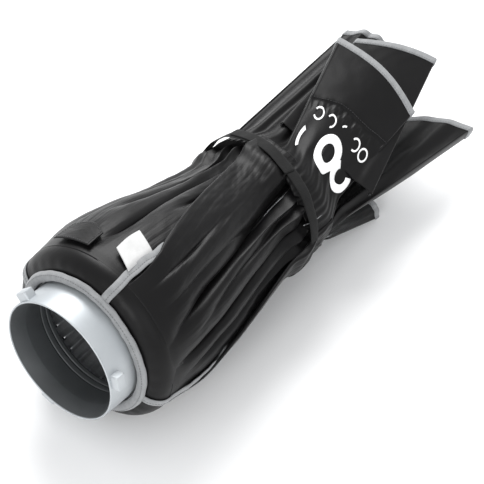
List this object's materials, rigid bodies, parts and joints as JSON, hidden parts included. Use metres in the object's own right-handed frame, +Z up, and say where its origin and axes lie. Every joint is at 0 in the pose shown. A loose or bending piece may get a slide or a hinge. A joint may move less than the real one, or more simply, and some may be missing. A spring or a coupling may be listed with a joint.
{
  "type": "strip softbox",
  "caption": "Strip softbox on a turning bayonet ring, its hinged ribs folded in and its black cloth panels gathered and tied with a strap",
  "frame": {"origin": "middle of the bounding box, on the floor it lies on", "axes": "+Y runs along the folded bundle from the bayonet ring to the gathered front, +Z is up, +X completes a right-handed frame. The bundle slopes 4 degrees down to its front."},
  "size_m": [0.2036, 0.5816, 0.2088],
  "materials": {
    "silver_paint": "satin silver",
    "dark_paint": "matt dark grey",
    "steel": "brushed",
    "black_nylon": "satin woven nylon, silver coated inside",
    "grey_binding": "woven tape",
    "white_label": "plain white woven tag",
    "black_webbing": "ribbed webbing",
    "black_plastic": "moulded"
  },
  "bodies": {
    "hub": {"hub_plate": "steel", "clamp_ring": "steel", "clamp_screw_1": "steel", "clamp_screw_2": "steel", "clamp_screw_3": "steel", "clamp_screw_4": "steel", "rib_bracket_1": "steel", "rib_bracket_2": "steel", "rib_bracket_3": "steel", "rib_bracket_4": "steel", "hinge_pin_1": "steel", "hinge_pin_2": "steel", "hinge_pin_3": "steel", "hinge_pin_4": "steel", "hub_cover": "black_nylon", "collar_binding": "grey_binding"},
    "bayonet": {"mount_ring": "silver_paint", "ring_liner": "dark_paint"},
    "rib_1": {"rib_root_1": "black_plastic", "rib_rod_1": "steel", "rib_tip_1": "black_plastic", "skirt_panel_right": "black_nylon"},
    "rib_2": {"rib_root_2": "black_plastic", "rib_rod_2": "steel", "rib_tip_2": "black_plastic", "skirt_panel_top": "black_nylon", "grip_patch": "black_webbing", "side_label": "white_label"},
    "rib_3": {"rib_root_3": "black_plastic", "rib_rod_3": "steel", "rib_tip_3": "black_plastic", "skirt_panel_left": "black_nylon"},
    "rib_4": {"rib_root_4": "black_plastic", "rib_rod_4": "steel", "rib_tip_4": "black_plastic", "skirt_panel_bottom": "black_nylon"},
    "web_1": {"wall_panel_right": "black_nylon"},
    "web_2": {"wall_panel_top": "black_nylon"},
    "web_3": {"wall_panel_left": "black_nylon"},
    "web_4": {"wall_panel_bottom": "black_nylon"},
    "flap_right": {"front_flap_right": "black_nylon", "tie_strap": "black_webbing"},
    "flap_top": {"front_flap_top": "black_nylon"},
    "flap_side": {"front_flap_side": "black_nylon"},
    "flap_low": {"front_flap_low": "black_nylon"},
    "flap_corner": {"front_flap_corner": "black_nylon"},
    "flap_floor": {"front_flap_floor": "black_nylon"}
  },
  "joints": [
    {"name": "ring_turn", "type": "hinge", "parent": "hub", "child": "bayonet", "pos_m": [0, -0.261, 0.10671], "axis": [0, 0.9976, -0.0698], "continuous": true},
    {"name": "rib_1_fold", "type": "hinge", "parent": "hub", "child": "rib_1", "pos_m": [0.08033, -0.22301, 0.07664], "axis": [-0.0262, -0.0697, -0.9972], "range_deg": [0, 33], "deforming": ["skirt_panel_right", "skirt_panel_top", "skirt_panel_left", "skirt_panel_bottom", "wall_panel_right", "wall_panel_top", "wall_panel_left", "wall_panel_bottom", "front_flap_right", "front_flap_top", "front_flap_side", "front_flap_low", "front_flap_corner", "front_flap_floor", "tie_strap", "grip_patch", "side_label"]},
    {"name": "rib_2_fold", "type": "hinge", "parent": "hub", "child": "rib_2", "pos_m": [0.02735, -0.2155, 0.18405], "axis": [0.808, -0.0411, -0.5878], "range_deg": [0, 33]},
    {"name": "rib_3_fold", "type": "hinge", "parent": "hub", "child": "rib_3", "pos_m": [-0.08033, -0.2192, 0.13119], "axis": [0.0262, 0.0697, 0.9972], "range_deg": [0, 33]},
    {"name": "rib_4_fold", "type": "hinge", "parent": "hub", "child": "rib_4", "pos_m": [-0.02735, -0.22671, 0.02379], "axis": [-0.808, 0.0411, 0.5878], "range_deg": [0, 33]},
    {"name": "web_1_fold", "type": "hinge", "parent": "rib_1", "child": "web_1", "pos_m": [0.02274, -0.23763, 0.11629], "axis": [0.8679, 0.2829, 0.4083], "range_deg": [0, 30.35]},
    {"name": "web_2_fold", "type": "hinge", "parent": "rib_2", "child": "web_2", "pos_m": [0.01928, -0.25377, 0.06692], "axis": [-0.4374, 0.1981, 0.8772], "range_deg": [0, 58.26]},
    {"name": "web_3_fold", "type": "hinge", "parent": "rib_3", "child": "web_3", "pos_m": [-0.08815, -0.22236, 0.06052], "axis": [-0.8679, 0.2233, -0.4437], "range_deg": [0, 30.35]},
    {"name": "web_4_fold", "type": "hinge", "parent": "rib_4", "child": "web_4", "pos_m": [0.04933, -0.23669, 0.00451], "axis": [0.4374, 0.0741, -0.8962], "range_deg": [0, 58.26]},
    {"name": "flap_right_fold", "type": "hinge", "parent": "rib_2", "child": "flap_right", "pos_m": [-0.03026, -0.00775, 0.06534], "axis": [-0.3276, 0.944, -0.0398], "range_deg": [0, 36.99]},
    {"name": "flap_top_fold", "type": "hinge", "parent": "rib_3", "child": "flap_top", "pos_m": [-0.03614, -0.1604, 0.14633], "axis": [-0.0227, -0.671, -0.7411], "range_deg": [0, 78.04]},
    {"name": "flap_side_fold", "type": "hinge", "parent": "rib_3", "child": "flap_side", "pos_m": [-0.02897, -0.01687, 0.00135], "axis": [0.1956, -0.407, -0.8922], "range_deg": [0, 60.98]},
    {"name": "flap_low_fold", "type": "hinge", "parent": "rib_4", "child": "flap_low", "pos_m": [0.09009, 0.16938, 0.08496], "axis": [-0.1067, -0.3999, 0.9103], "range_deg": [0, 54.22]},
    {"name": "flap_corner_fold", "type": "hinge", "parent": "rib_4", "child": "flap_corner", "pos_m": [0.01002, 0.0841, 0.15599], "axis": [0.6953, -0.6504, 0.3059], "range_deg": [0, 29.6]},
    {"name": "flap_floor_fold", "type": "hinge", "parent": "rib_4", "child": "flap_floor", "pos_m": [-0.01102, -0.00158, 0.05949], "axis": [0.3302, 0.94, 0.0861], "range_deg": [0, 58.17]}
  ],
  "couplings": [
    {"joint": "rib_2_fold", "follows": "rib_1_fold", "ratio": 1},
    {"joint": "rib_3_fold", "follows": "rib_1_fold", "ratio": 1},
    {"joint": "rib_4_fold", "follows": "rib_1_fold", "ratio": 1},
    {"joint": "web_1_fold", "follows": "rib_1_fold", "ratio": 0.91957},
    {"joint": "web_2_fold", "follows": "rib_1_fold", "ratio": 1.7654},
    {"joint": "web_3_fold", "follows": "rib_1_fold", "ratio": 0.91957},
    {"joint": "web_4_fold", "follows": "rib_1_fold", "ratio": 1.7654},
    {"joint": "flap_right_fold", "follows": "rib_1_fold", "ratio": 1.1209},
    {"joint": "flap_top_fold", "follows": "rib_1_fold", "ratio": 2.3648},
    {"joint": "flap_side_fold", "follows": "rib_1_fold", "ratio": 1.8479},
    {"joint": "flap_low_fold", "follows": "rib_1_fold", "ratio": 1.643},
    {"joint": "flap_corner_fold", "follows": "rib_1_fold", "ratio": 0.89682},
    {"joint": "flap_floor_fold", "follows": "rib_1_fold", "ratio": 1.7627}
  ]
}
